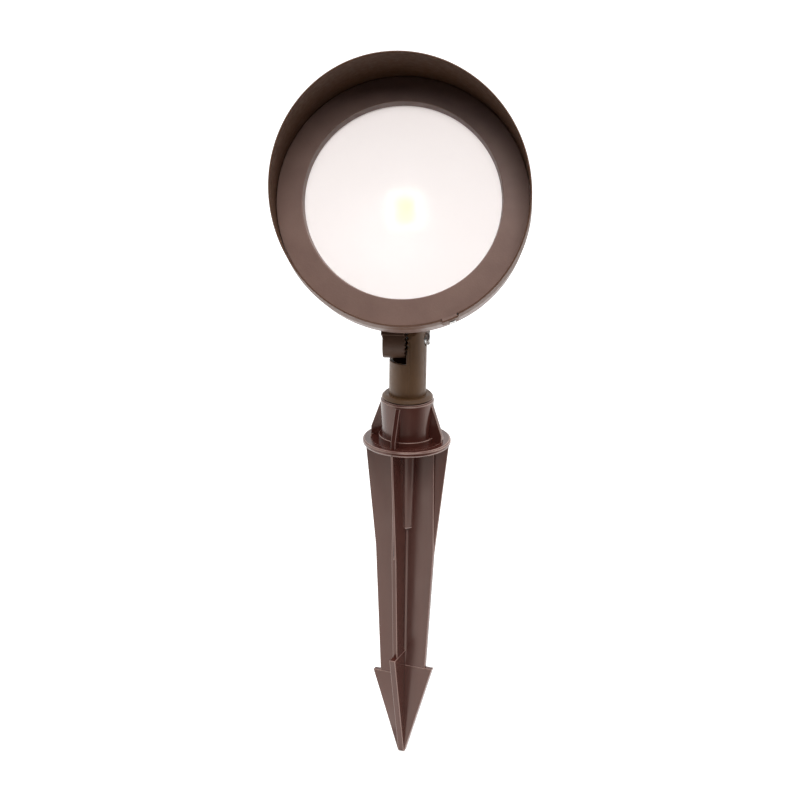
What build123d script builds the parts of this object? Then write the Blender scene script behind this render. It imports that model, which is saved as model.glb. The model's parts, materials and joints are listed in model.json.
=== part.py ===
from build123d import *
from math import degrees, radians, sin, sqrt
import os

# Spike-mounted flood light: a moulded ground stake, a post that swivels in it, a toothed knuckle,
# and a round finned head with a slanted visor that turns on the bezel.
# Millimetres, +Z up, the head faces -Y. The origin is the centre of the flange's underside, at the ground.

# Ground stake
FLANGE_R = 27.5
FLANGE_T = 3.6
FLANGE_DISH_R = 22.4
FLANGE_DISH = 0.5
FLANGE_EDGE = 0.8
HUB_R = 16.6
HUB_FOOT_R = 15.7
HUB_H = 26.4
HUB_CHAMFER = 1.0
FOOT_RING_R = 17.6
FOOT_RING_H = 2.6
GUSSET_R = 23.6
GUSSET_T = 3.0
GUSSET_HEEL = 4.5
GUSSET_TOP_DROP = 1.2
STAKE_TURN = -17.9
BLADE_COUNT = 4
BLADE_T = 3.0
BLADE_ROOT_R = 18.8
ROOT_DEPTH = 8.0
BLADE_WAIST_R = 19.6
WAIST_DEPTH = 72.0
BLADE_END_R = 15.2
WEB_T = 1.3
RIGHT_BARB_DEPTH = 152.5
FRONT_BARB_DEPTH = 142.0
LEFT_BARB_DEPTH = 159.5
BARB_R = 20.2
BARB_T = 3.9
TIP_DEPTH = 215.0
TIP_R = 2.2
CORE_R = 2.9
BOSS_R = 7.4
BOSS_END_R = 5.2
BOSS_DEPTH = 56.0
OUTLET_W = 6.0
OUTLET_H = 7.0

# Post, lock ring and knuckle
STEM_R = 11.5
SPIGOT_R = 10.4
SPIGOT_L = 17.0
WIRE_BORE_R = 4.5
RISER_R = 2.4
RISER_SKIN = 0.8
LOCK_RING_R = 15.8
LOCK_RING_TOP_R = 14.2
LOCK_RING_FOOT_R = 14.4
LOCK_RING_H = 3.0
LOCK_RING_LIP = 0.7
NOTCH_FLOOR_H = 55.0
POCKET_WALL = 2.0
POCKET_DEPTH = 10.0
PIVOT_H = 69.4
KNUCKLE_R = 13.2
ARM_LEFT_X = -15.2
KNUCKLE_MID_X = -0.6
TOOTH_COUNT = 24
TOOTH_H = 1.3
TOOTH_LAND = 0.2
TEETH_INNER_R = 7.2
RECESS_DEPTH = 2.9
BOLT_R = 2.5
BOLT_GRIP = 10.0
BOLT_AF = 8.0
BOLT_HEAD_H = 2.2
BOLT_CHAMFER = 1.6
WASHER_R = 4.6
WASHER_T = 0.8
SPRING_WASHER_R = 4.1
SPRING_WASHER_T = 1.3
SPRING_WASHER_SPLIT = 0.8
SPRING_WASHER_TURN = 30.0
SPOT_X = 9.0
SPOT_MARGIN = 0.9

# Knuckle arm's neck, and its saddle bolted under the housing
NECK_LIP = 0.9
NECK_DROP = 1.5
SADDLE_W = 38.0
SADDLE_T = 4.0
SADDLE_BACK = 17.0
SADDLE_CORNER_R = 5.0
EAR_HEADROOM = 1.6
ARM_GASKET_T = 1.5
ARM_SCREW_SPACING = 28.0
ARM_SCREW_R = 2.0
ARM_SCREW_HEAD_R = 3.8
ARM_SCREW_BITE = 7.0
ARM_SOCKET_R = 1.4
ARM_WIRE_R = 3.0
GROMMET_R = 5.2
GROMMET_BORE_R = 2.6
GROMMET_T = 4.0

# Head: place on the knuckle, and depths measured back from the crest of the bezel's crowned face
HEAD_TILT = 27.0
HEAD_SHIFT = -3.6
FACE_REACH = 58.0
HEAD_RISE = 73.6
BEZEL_R = 75.55
BEZEL_FACE_W = 16.75
BEZEL_CROWN = 2.0
OPENING_DRAFT = 1.1
BEZEL_T = 11.0
BEZEL_EDGE = 0.6
LENS_RECESS = 7.7
LENS_LAP = 4.6
LENS_T = 4.0
LENS_EDGE = 0.5
LENS_GASKET_T = 2.0
LENS_GASKET_W = 3.4
RIM_OVERHANG = 0.4
RIM_T = 4.0
RIM_STEP = 12.0
SKIRT_BACK = 34.0
SKIRT_DRAFT = 0.85
SKIRT_WALL = 1.7
BOWL_BULGE = 2.6
BARREL_R = 46.0
BOWL_END = 46.0
HOUSING_DEPTH = 98.0
BACK_WALL = 6.0
BACK_ROUND = 4.0
WALL = 4.6
FIN_COUNT = 28
FIN_T = 2.2
FIN_H = 4.4
FIN_END_SLOPE = 5.0
BOSS_MARGIN = 0.6
BEZEL_SCREW_COUNT = 4
SCREW_START = 45.0
BEZEL_SCREW_R = 2.0
BEZEL_SCREW_HEAD_R = 3.5
BEZEL_SCREW_HEAD_H = 2.4
BEZEL_SCREW_BITE = 4.6

# Light engine
PLATE_T = 4.0
PLATE_SEAT = 38.0
PLATE_LEDGE_W = 6.0
PLATE_LEDGE_T = 6.0
PLATE_SCREW_COUNT = 4
PLATE_SCREW_R = 1.5
PLATE_SCREW_HEAD_R = 2.5
PLATE_SCREW_HEAD_H = 1.8
PLATE_SCREW_BITE = 4.5
BOARD_W = 20.0
BOARD_H = 24.0
BOARD_T = 1.2
BOARD_CORNER_R = 1.0
PHOSPHOR_W = 12.6
PHOSPHOR_H = 17.6
PHOSPHOR_T = 0.5
HOLDER_W = 31.0
HOLDER_H = 34.0
HOLDER_T = 3.2
HOLDER_LIP = 1.6
HOLDER_CORNER_R = 3.0
HOLDER_SCREW_R = 1.25
HOLDER_SCREW_HEAD_R = 2.0
HOLDER_SCREW_HEAD_H = 1.4
HOLDER_SCREW_INSET = 3.4
HOLDER_SCREW_BITE = 2.6
REFLECTOR_WALL = 1.2
REFLECTOR_THROAT_R = 14.2
REFLECTOR_LIP_W = 3.2
REFLECTOR_BULGE = 3.4
DRIVER_W = 48.0
DRIVER_H = 46.0
DRIVER_T = 22.0
DRIVER_CORNER_R = 4.0
DRIVER_EDGE_R = 1.3
DRIVER_EAR_L = 7.0
DRIVER_EAR_W = 12.0
DRIVER_EAR_T = 3.0
DRIVER_SCREW_R = 1.5
DRIVER_SCREW_HEAD_R = 2.6
DRIVER_SCREW_HEAD_H = 1.9
DRIVER_SCREW_BITE = 3.6
LEAD_R = 0.8
LEAD_SPACING = 8.0
LEAD_RUN = 5.4
LEAD_BEND_R = 2.0
LEAD_BITE = 1.6
LEAD_HOLE_MARGIN = 0.6

# Screw heads, as shares of the head's own height and radius
SCREW_DOME = 0.45
DRIVE_DEPTH = 0.35
DRIVE_SPAN = 1.3
DRIVE_WIDTH = 0.32

# Visor
VISOR_WALL = 1.0
VISOR_GAP = 0.3
VISOR_DEEP = 52.6
VISOR_SHALLOW = 0.8
VISOR_BAND = 9.9
VISOR_TURN = 16.6
PAD_TURN = 7.1
SHOE_W = 9.6
SHOE_L = 6.6
SHOE_MARGIN = 0.1
PAD_RIM = 0.8
PAD_H = 1.3
PAD_CORNER_R = 1.0
PAD_SETBACK = 0.7
VISOR_SCREW_R = 1.5
VISOR_SCREW_HEAD_R = 2.0
VISOR_SCREW_HEAD_H = 0.9
VISOR_SCREW_OFFSET = 0.9
VISOR_SCREW_DEPTH = 5.5
VISOR_GROOVE_DEPTH = 1.2

# Clearances
RUN_FIT = 0.05
THREAD_FIT = 0.02
SCREW_FIT = 0.2
FACE_GAP = 0.1
TOOTH_GAP = 0.3
SEAT_FIT = 0.2
BLIND = 0.5
OVERLAP = 1.0

# Levels and places that follow from the sizes above
HUB_TOP = FLANGE_T + HUB_H
HUB_BORE_R = SPIGOT_R + RUN_FIT
STEM_SEAT = HUB_TOP + FACE_GAP
SPIGOT_END = STEM_SEAT - SPIGOT_L
ARM_CREST_X = KNUCKLE_MID_X - TOOTH_GAP / 2
EAR_CREST_X = KNUCKLE_MID_X + TOOTH_GAP / 2
ARM_ROOT_X = ARM_CREST_X - TOOTH_H
SADDLE_UNDER = STEM_R + EAR_HEADROOM
SADDLE_TOP = SADDLE_UNDER + SADDLE_T
NECK_FRONT = KNUCKLE_R + NECK_LIP
SADDLE_FRONT = -NECK_FRONT
BOSS_FACE = SADDLE_TOP + ARM_GASKET_T
SADDLE_MID_Y = (SADDLE_FRONT + SADDLE_BACK) / 2
ARM_WIRE_X = ARM_ROOT_X - RECESS_DEPTH
LENS_OPENING_R = BEZEL_R - BEZEL_FACE_W
LENS_R = LENS_OPENING_R + LENS_LAP
RIM_R = BEZEL_R + RIM_OVERHANG
BOWL_R = RIM_R - RIM_STEP
SKIRT_END_R = RIM_R - SKIRT_DRAFT
SKIRT_BORE_R = SKIRT_END_R - SKIRT_WALL
LENS_BACK = LENS_RECESS + LENS_T
LENS_SEAT = LENS_BACK + LENS_GASKET_T
LIP_BACK = LENS_SEAT + REFLECTOR_WALL
RIM_BACK = BEZEL_T + RIM_T
LENS_BORE_R = LENS_R + SEAT_FIT
LENS_LEDGE_R = LENS_R - LENS_GASKET_W
REFLECTOR_MOUTH_R = LENS_LEDGE_R - REFLECTOR_LIP_W
CHAMBER_R = BARREL_R - WALL
PLATE_BORE_R = CHAMBER_R
FIN_R = BARREL_R + FIN_H
PLATE_R = PLATE_BORE_R - SEAT_FIT
PLATE_FRONT = PLATE_SEAT - PLATE_T
BOWL_TAPER = (BOWL_R - FIN_R) / (BOWL_END - RIM_BACK)
HOLLOW_END_R = BOWL_R - BOWL_TAPER * (PLATE_FRONT - RIM_BACK) - WALL
LEDGE_R = PLATE_BORE_R - PLATE_LEDGE_W
CHAMBER_END = HOUSING_DEPTH - BACK_WALL
PLATE_SCREW_PCR = (LEDGE_R + PLATE_R) / 2
BEZEL_SCREW_PCR = (BOWL_R + SKIRT_BORE_R) / 2
HOLDER_FRONT = PLATE_FRONT - HOLDER_T
VISOR_BORE_R = BEZEL_R + VISOR_GAP
VISOR_R = VISOR_BORE_R + VISOR_WALL
PAD_R = VISOR_R + PAD_H
PAD_W = SHOE_W + 2 * PAD_RIM
SHOE_BACK = BEZEL_CROWN + SHOE_L
SHOE_BORE_R = BEZEL_R + RUN_FIT
DRIVER_FRONT = CHAMBER_END - DRIVER_T
LEAD_Y = -(HOLDER_H / 2 + LEAD_RUN)
LEAD_DEPTH = PLATE_FRONT - LEAD_BEND_R

# Places of the tilting arm and of the head, whose own frame has z along the beam and y up
ARM_PLACE = Pos(0, 0, PIVOT_H) * Rot(-HEAD_TILT, 0, 0)
HEAD_PLACE = ARM_PLACE * Pos(HEAD_SHIFT, -FACE_REACH, HEAD_RISE) * Rot(90, 0, 0)
VISOR_PLACE = HEAD_PLACE * Rot(0, 0, VISOR_TURN)
PAD_PLACE = Rot(0, 0, PAD_TURN)
QUARTERS = [360 / BLADE_COUNT * k for k in range(BLADE_COUNT)]


def turned(points):
    """Solid of revolution about Z from (radius, height) points."""
    outline = make_face(Polyline([(r, 0, z) for r, z in points], close=True))
    return revolve(outline, Axis.Z)


def turned_back(points):
    """Solid of revolution about the beam from (radius, depth behind the bezel's crest) points."""
    return turned([(r, -depth) for r, depth in points])


def plate(points, thickness, shift=0.0):
    """Flat plate from (x, z) points, centred on y = shift."""
    outline = make_face(Polyline([(x, shift, z) for x, z in points], close=True))
    return extrude(outline, amount=thickness / 2, dir=(0, 1, 0), both=True)


def rod(radius, start, end):
    """Round bar along Z between two heights."""
    return Pos(0, 0, start) * Cylinder(radius, end - start, align=(Align.CENTER, Align.CENTER, Align.MIN))


def rod_x(radius, start, end):
    """Round bar along X between two places."""
    return Rot(0, 90, 0) * rod(radius, start, end)


def rod_back(radius, front, back):
    """Round bar along the beam between two depths behind the bezel's crest."""
    return rod(radius, -back, -front)


def slab_back(width, height, corner_r, front, back):
    """Rounded rectangle across the beam between two depths behind the bezel's crest."""
    outline = RectangleRounded(width, height, corner_r)
    return Pos(0, 0, -back) * extrude(outline, amount=back - front)


def around(piece, count, start=0.0):
    """Copies of a piece, evenly spaced about Z."""
    return [Rot(0, 0, start + 360 / count * k) * piece for k in range(count)]


def joined(solid, others):
    """One solid fused from a solid and a list of others."""
    for other in others:
        solid = solid + other
    return solid


def pan_screw(radius, head_r, head_h, length):
    """Screw along Z with its head's seat at z = 0 and its shank below."""
    head = rod(head_r, 0, head_h)
    head = fillet(head.edges().group_by(Axis.Z)[-1], head_h * SCREW_DOME)
    slot = Pos(0, 0, head_h) * Box(head_r * DRIVE_SPAN, head_r * DRIVE_WIDTH, head_h * 2 * DRIVE_DEPTH)
    cross = Rot(0, 0, 90) * slot
    return head + rod(radius, -length, 0) - slot - cross


def tooth_grooves(outer_r):
    """V grooves of a face spline cut down from z = 0, each narrowing to the axis."""
    reach = outer_r + OVERLAP
    pitch = 2 * outer_r * sin(radians(180 / TOOTH_COUNT))
    half = (pitch - TOOTH_LAND) / 2 * reach / outer_r
    depth = TOOTH_H * reach / outer_r
    corners = [(reach, -half, 0), (reach, half, 0), (reach, 0, -depth)]
    groove = loft([make_face(Polyline(corners, close=True)), Vertex(0, 0, 0)])
    return around(groove, TOOTH_COUNT)


def toothed(solid, place, outer_r):
    """Cuts a face spline and its hollow centre into the face that looks along the place's z."""
    for groove in tooth_grooves(outer_r):
        solid = solid - place * groove
    return solid - place * rod(TEETH_INNER_R, -RECESS_DEPTH, OVERLAP)


def make_stake_blade(barb_depth):
    """One blade along +X with its thin flare web under the flange and its barb plate."""
    root = FLANGE_T / 2
    spine = [(0, root), (BLADE_ROOT_R, root), (BLADE_ROOT_R, -ROOT_DEPTH), (BLADE_WAIST_R, -WAIST_DEPTH)]
    spine += [(BLADE_END_R, -barb_depth - OVERLAP), (0, -barb_depth - OVERLAP)]
    flare = [(0, root), (FLANGE_R, root), (FLANGE_R, 0), (BLADE_WAIST_R, -WAIST_DEPTH), (0, -WAIST_DEPTH)]
    barb = [(0, -barb_depth), (BARB_R, -barb_depth), (TIP_R, -TIP_DEPTH), (0, -TIP_DEPTH)]
    web = plate(flare, WEB_T, (BLADE_T - WEB_T) / 2)
    return plate(spine, BLADE_T) + web + plate(barb, BARB_T)


def make_ground_stake():
    body = turned([
        (0, 0), (FLANGE_R - FLANGE_EDGE, 0), (FLANGE_R, FLANGE_EDGE), (FLANGE_R, FLANGE_T - FLANGE_EDGE),
        (FLANGE_R - FLANGE_EDGE, FLANGE_T), (FLANGE_DISH_R, FLANGE_T),
        (FLANGE_DISH_R - FLANGE_DISH, FLANGE_T - FLANGE_DISH), (FOOT_RING_R, FLANGE_T - FLANGE_DISH),
        (FOOT_RING_R, FLANGE_T + FOOT_RING_H), (HUB_FOOT_R, FLANGE_T + FOOT_RING_H),
        (HUB_R, HUB_TOP - HUB_CHAMFER), (HUB_R - HUB_CHAMFER, HUB_TOP), (0, HUB_TOP),
    ])
    gusset = plate([
        (HUB_BORE_R + OVERLAP, FLANGE_T / 2), (GUSSET_R, FLANGE_T / 2), (GUSSET_R, FLANGE_T + GUSSET_HEEL),
        (HUB_R, HUB_TOP - HUB_CHAMFER - GUSSET_TOP_DROP), (HUB_BORE_R + OVERLAP, FLANGE_T + GUSSET_HEEL),
    ], GUSSET_T)
    body = joined(body, around(gusset, BLADE_COUNT, STAKE_TURN))
    barb_depths = (RIGHT_BARB_DEPTH, FRONT_BARB_DEPTH, LEFT_BARB_DEPTH, FRONT_BARB_DEPTH)
    for turn, barb_depth in zip(QUARTERS, barb_depths):
        body = body + Rot(0, 0, STAKE_TURN + turn) * make_stake_blade(barb_depth)
    core = turned([
        (0, FLANGE_T / 2), (BOSS_R, FLANGE_T / 2), (BOSS_R, 0), (BOSS_END_R, -BOSS_DEPTH),
        (CORE_R, -BOSS_DEPTH - BOSS_END_R + CORE_R), (CORE_R, -FRONT_BARB_DEPTH), (0, -TIP_DEPTH),
    ])
    outlet = Pos(0, 0, FLANGE_T + OUTLET_H / 2) * Box(
        OUTLET_W, FLANGE_R, OUTLET_H, align=(Align.CENTER, Align.MIN, Align.CENTER))
    return body + core - rod(HUB_BORE_R, FLANGE_T, HUB_TOP + OVERLAP) - outlet


def make_knuckle_stem():
    top = PIVOT_H + STEM_R
    stem = rod(STEM_R, STEM_SEAT, top) + rod(SPIGOT_R, SPIGOT_END, STEM_SEAT)
    notch_h = top - NOTCH_FLOOR_H
    notch = Pos(EAR_CREST_X, 0, NOTCH_FLOOR_H) * Box(
        3 * STEM_R, 3 * STEM_R, 2 * notch_h, align=(Align.MAX, Align.CENTER, Align.MIN))
    pocket = rod(STEM_R - POCKET_WALL, NOTCH_FLOOR_H - POCKET_DEPTH, top)
    inner_half = Pos(EAR_CREST_X, 0, NOTCH_FLOOR_H - POCKET_DEPTH) * Box(
        3 * STEM_R, 3 * STEM_R, POCKET_DEPTH + OVERLAP, align=(Align.MAX, Align.CENTER, Align.MIN))
    stem = stem - notch - (pocket & inner_half)
    shoulder = Pos(0, 0, PIVOT_H) * Box(
        3 * STEM_R, 3 * STEM_R, 2 * STEM_R, align=(Align.CENTER, Align.CENTER, Align.MIN))
    ear_round = Pos(0, 0, PIVOT_H) * rod_x(STEM_R, -2 * STEM_R, 2 * STEM_R)
    stem = stem - (shoulder - ear_round)
    ear_face = Pos(EAR_CREST_X, 0, PIVOT_H) * Rot(0, -90, 0)
    stem = toothed(stem, ear_face, STEM_R)
    stem = stem - rod(WIRE_BORE_R, SPIGOT_END - OVERLAP, NOTCH_FLOOR_H - RISER_R)
    riser = Pos(EAR_CREST_X + RISER_SKIN + RISER_R, 0, 0) * rod(
        RISER_R, NOTCH_FLOOR_H - 2 * RISER_R, PIVOT_H - BOLT_R)
    bolt_hole = Pos(0, 0, PIVOT_H) * rod_x(BOLT_R + RUN_FIT, -STEM_R, 2 * STEM_R)
    spot_face = Pos(0, 0, PIVOT_H) * rod_x(WASHER_R + SPOT_MARGIN, SPOT_X, 2 * STEM_R)
    return stem - riser - bolt_hole - spot_face


def make_lock_ring():
    bore = STEM_R + THREAD_FIT
    top = STEM_SEAT + LOCK_RING_H
    return turned([
        (bore, STEM_SEAT), (LOCK_RING_FOOT_R, STEM_SEAT), (LOCK_RING_FOOT_R, STEM_SEAT + LOCK_RING_LIP),
        (LOCK_RING_R, STEM_SEAT + LOCK_RING_LIP), (LOCK_RING_R, STEM_SEAT + 2 * LOCK_RING_LIP),
        (LOCK_RING_TOP_R, top), (bore, top),
    ])


def saddle_outline(inset=0.0):
    """Rounded rectangle of the saddle, in the arm's plan."""
    outline = RectangleRounded(SADDLE_W - 2 * inset, SADDLE_BACK - SADDLE_FRONT - 2 * inset, SADDLE_CORNER_R)
    return Pos(HEAD_SHIFT, SADDLE_MID_Y, 0) * outline


def arm_screw_places(height):
    """Places of the two saddle screws at a height over the pivot."""
    return [Pos(HEAD_SHIFT + side * ARM_SCREW_SPACING / 2, SADDLE_MID_Y, height) for side in (-1, 1)]


def arm_wire_hole(radius, low, high):
    """Round passage for the supply lead, up through the arm."""
    return Pos(ARM_WIRE_X, 0, 0) * rod(radius, low, high)


def make_knuckle_arm():
    disc = rod_x(KNUCKLE_R, ARM_LEFT_X, ARM_CREST_X)
    neck = Pos(ARM_LEFT_X - NECK_LIP, 0, -NECK_DROP) * Box(
        ARM_ROOT_X - ARM_LEFT_X + NECK_LIP, 2 * NECK_FRONT, NECK_DROP + SADDLE_UNDER + OVERLAP,
        align=(Align.MIN, Align.CENTER, Align.MIN))
    saddle = Pos(0, 0, SADDLE_UNDER) * extrude(saddle_outline(), amount=SADDLE_T)
    arm_face = Pos(ARM_CREST_X, 0, 0) * Rot(0, 90, 0)
    arm = toothed(disc, arm_face, KNUCKLE_R) + neck + saddle
    arm = arm - rod_x(TEETH_INNER_R, ARM_CREST_X - RECESS_DEPTH, ARM_CREST_X + OVERLAP)
    arm = arm - rod_x(BOLT_R + THREAD_FIT, ARM_CREST_X - BOLT_GRIP - OVERLAP, ARM_CREST_X)
    arm = arm - arm_wire_hole(ARM_WIRE_R, BOLT_R + OVERLAP, SADDLE_TOP + OVERLAP)
    sink = turned([
        (0, -OVERLAP), (ARM_SCREW_HEAD_R + SCREW_FIT, -OVERLAP), (ARM_SCREW_HEAD_R + SCREW_FIT, 0),
        (ARM_SCREW_R + SCREW_FIT, ARM_SCREW_HEAD_R - ARM_SCREW_R), (ARM_SCREW_R + SCREW_FIT, 2 * SADDLE_T),
        (0, 2 * SADDLE_T),
    ])
    for place in arm_screw_places(SADDLE_UNDER):
        arm = arm - place * sink
    return arm


def make_arm_gasket():
    gasket = Pos(0, 0, SADDLE_TOP) * extrude(saddle_outline(BOSS_MARGIN), amount=ARM_GASKET_T)
    for place in arm_screw_places(SADDLE_TOP):
        gasket = gasket - place * rod(ARM_SCREW_R + SCREW_FIT, -OVERLAP, 2 * ARM_GASKET_T)
    return gasket - arm_wire_hole(ARM_WIRE_R, 0, BOSS_FACE + OVERLAP)


def make_arm_screws():
    head_h = ARM_SCREW_HEAD_R - ARM_SCREW_R
    length = SADDLE_T + ARM_GASKET_T + ARM_SCREW_BITE
    screw = turned([
        (0, 0), (ARM_SCREW_HEAD_R, 0), (ARM_SCREW_R, head_h), (ARM_SCREW_R, length), (0, length),
    ])
    socket = extrude(RegularPolygon(ARM_SOCKET_R, 6), amount=head_h)
    return [place * (screw - socket) for place in arm_screw_places(SADDLE_UNDER)]


def make_pivot_bolt():
    under = SPOT_X + FACE_GAP + WASHER_T + SPRING_WASHER_T
    hexagon = RegularPolygon(BOLT_AF / 2, 6, major_radius=False)
    head = extrude(hexagon, amount=BOLT_HEAD_H)
    dome = turned([
        (0, 0), (BOLT_AF / 2 + BOLT_CHAMFER, 0), (BOLT_AF / 2, BOLT_HEAD_H), (0, BOLT_HEAD_H),
    ])
    head = Pos(under, 0, 0) * Rot(0, 90, 0) * (head & dome)
    return head + rod_x(BOLT_R, ARM_CREST_X - BOLT_GRIP, under + OVERLAP)


def make_flat_washer():
    start = SPOT_X + FACE_GAP
    return rod_x(WASHER_R, start, start + WASHER_T) - rod_x(BOLT_R + SCREW_FIT, start, start + WASHER_T)


def make_spring_washer():
    start = SPOT_X + FACE_GAP + WASHER_T
    end = start + SPRING_WASHER_T
    coil = rod_x(SPRING_WASHER_R, start, end) - rod_x(BOLT_R + SCREW_FIT, start, end)
    split = Pos(start, 0, 0) * Rot(SPRING_WASHER_TURN, 0, 0) * Box(
        4 * SPRING_WASHER_T, SPRING_WASHER_SPLIT, 2 * SPRING_WASHER_R,
        align=(Align.CENTER, Align.CENTER, Align.MIN))
    return coil - split


def bezel_screw_places(depth):
    """Places of the bezel's screws, which look back along the beam."""
    return [
        Rot(0, 0, SCREW_START + 360 / BEZEL_SCREW_COUNT * k) * Pos(BEZEL_SCREW_PCR, 0, -depth)
        * Rot(180, 0, 0) for k in range(BEZEL_SCREW_COUNT)
    ]


def plate_screw_places(depth):
    """Places of the LED plate's screws, which look out along the beam."""
    return [
        Rot(0, 0, SCREW_START + 360 / PLATE_SCREW_COUNT * k) * Pos(PLATE_SCREW_PCR, 0, -depth)
        for k in range(PLATE_SCREW_COUNT)
    ]


def driver_screw_places(depth):
    """Places of the two driver screws, one in each ear."""
    return [Pos(side * (DRIVER_W + DRIVER_EAR_L) / 2, 0, -depth) for side in (-1, 1)]


def bowl_curve(front_r, front, back_r, back, bulge):
    """Bulging line of a bowl's wall in the (radius, depth) plane, from its front to its back."""
    run = sqrt((front_r - back_r) ** 2 + (back - front) ** 2)
    out_r = (back - front) / run * bulge
    out_depth = (front_r - back_r) / run * bulge
    middle = ((front_r + back_r) / 2 + out_r, 0, -(front + back) / 2 - out_depth)
    return ThreePointArc((front_r, 0, -front), middle, (back_r, 0, -back))


def bowl_solid(front_r, front, back_r, back, bulge):
    """Solid bowl between two depths."""
    wall = bowl_curve(front_r, front, back_r, back, bulge)
    rest = Polyline([(back_r, 0, -back), (0, 0, -back), (0, 0, -front), (front_r, 0, -front)])
    return revolve(make_face(wall + rest), Axis.Z)


def make_housing():
    rim = turned_back([
        (0, BEZEL_T), (RIM_R, BEZEL_T), (RIM_R, RIM_BACK), (SKIRT_END_R, SKIRT_BACK),
        (SKIRT_BORE_R, SKIRT_BACK), (SKIRT_BORE_R, RIM_BACK), (0, RIM_BACK),
    ])
    bowl = bowl_solid(BOWL_R, RIM_BACK, FIN_R, BOWL_END, BOWL_BULGE)
    barrel = rod_back(BARREL_R, RIM_BACK, HOUSING_DEPTH)
    barrel = fillet(barrel.edges().group_by(Axis.Z)[0], BACK_ROUND)
    fin = plate([
        (CHAMBER_R + OVERLAP, -BOWL_END + OVERLAP), (FIN_R, -BOWL_END + OVERLAP),
        (FIN_R, -HOUSING_DEPTH + BACK_ROUND + FIN_END_SLOPE),
        (BARREL_R - OVERLAP, -HOUSING_DEPTH + BACK_ROUND), (CHAMBER_R + OVERLAP, -HOUSING_DEPTH + BACK_ROUND),
    ], FIN_T)
    housing = joined(rim + bowl + barrel, around(fin, FIN_COUNT, 180 / FIN_COUNT))
    boss_h = HEAD_RISE - CHAMBER_R - BOSS_FACE
    boss = Pos(0, 0, BOSS_FACE) * extrude(saddle_outline(BOSS_MARGIN), amount=boss_h)
    to_head = Rot(-90, 0, 0) * Pos(-HEAD_SHIFT, FACE_REACH, -HEAD_RISE)
    housing = housing + to_head * boss
    housing = housing - rod_back(LENS_BORE_R, BEZEL_T - OVERLAP, LENS_SEAT)
    hollow = bowl_solid(LENS_LEDGE_R, LIP_BACK, HOLLOW_END_R, PLATE_FRONT, BOWL_BULGE)
    hollow = hollow + rod_back(LENS_LEDGE_R, BEZEL_T, LIP_BACK)
    housing = housing - hollow - rod_back(PLATE_BORE_R, PLATE_FRONT - OVERLAP, PLATE_SEAT)
    housing = housing - rod_back(LEDGE_R, PLATE_SEAT - OVERLAP, CHAMBER_END)
    housing = housing - rod_back(CHAMBER_R, PLATE_SEAT + PLATE_LEDGE_T, CHAMBER_END)
    cuts = [place * rod(BEZEL_SCREW_R + SCREW_FIT, -2 * RIM_T, OVERLAP)
            for place in bezel_screw_places(RIM_BACK)]
    cuts += [place * rod(PLATE_SCREW_R + THREAD_FIT, -PLATE_SCREW_BITE - BLIND, OVERLAP)
             for place in plate_screw_places(PLATE_SEAT)]
    cuts += [place * rod(DRIVER_SCREW_R + THREAD_FIT, -DRIVER_SCREW_BITE - BLIND, OVERLAP)
             for place in driver_screw_places(CHAMBER_END)]
    cuts += [to_head * place * rod(ARM_SCREW_R + THREAD_FIT, -OVERLAP, ARM_SCREW_BITE + BLIND)
             for place in arm_screw_places(BOSS_FACE)]
    cuts += [to_head * arm_wire_hole(GROMMET_R, BOSS_FACE - OVERLAP, BOSS_FACE + GROMMET_T)]
    cuts += [to_head * arm_wire_hole(ARM_WIRE_R, BOSS_FACE, HEAD_RISE)]
    for cut in cuts:
        housing = housing - cut
    return housing


def make_wire_grommet():
    return arm_wire_hole(GROMMET_R - THREAD_FIT, BOSS_FACE, BOSS_FACE + GROMMET_T) - arm_wire_hole(
        GROMMET_BORE_R, BOSS_FACE - OVERLAP, BOSS_FACE + GROMMET_T + OVERLAP)


def make_bezel():
    mouth_r = LENS_OPENING_R + OPENING_DRAFT
    groove_r = BEZEL_R - VISOR_GROOVE_DEPTH
    groove_half = VISOR_SCREW_R + SCREW_FIT
    ring = turned_back([
        (mouth_r + BEZEL_EDGE, 0), (BEZEL_R - BEZEL_EDGE, BEZEL_CROWN), (BEZEL_R, BEZEL_CROWN + BEZEL_EDGE),
        (BEZEL_R, VISOR_SCREW_DEPTH - groove_half), (groove_r, VISOR_SCREW_DEPTH - groove_half),
        (groove_r, VISOR_SCREW_DEPTH + groove_half), (BEZEL_R, VISOR_SCREW_DEPTH + groove_half),
        (BEZEL_R, BEZEL_T), (LENS_BORE_R, BEZEL_T), (LENS_BORE_R, LENS_RECESS), (LENS_OPENING_R, LENS_RECESS),
        (LENS_OPENING_R, LENS_RECESS - BEZEL_EDGE), (mouth_r, BEZEL_EDGE),
    ])
    for place in bezel_screw_places(BEZEL_T):
        ring = ring - place * rod(BEZEL_SCREW_R + THREAD_FIT, -BEZEL_SCREW_BITE - SCREW_FIT, OVERLAP)
    return ring


def make_bezel_screws():
    screw = pan_screw(BEZEL_SCREW_R, BEZEL_SCREW_HEAD_R, BEZEL_SCREW_HEAD_H, RIM_T + BEZEL_SCREW_BITE)
    return [place * screw for place in bezel_screw_places(RIM_BACK)]


def make_lens():
    return turned_back([
        (0, LENS_RECESS), (LENS_R - LENS_EDGE, LENS_RECESS), (LENS_R, LENS_RECESS + LENS_EDGE),
        (LENS_R, LENS_BACK - LENS_EDGE), (LENS_R - LENS_EDGE, LENS_BACK), (0, LENS_BACK),
    ])


def make_lens_gasket():
    ring = rod_back(LENS_R, LENS_BACK, LENS_SEAT)
    return ring - rod_back(LENS_LEDGE_R, LENS_BACK - OVERLAP, LENS_SEAT + OVERLAP)


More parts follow.
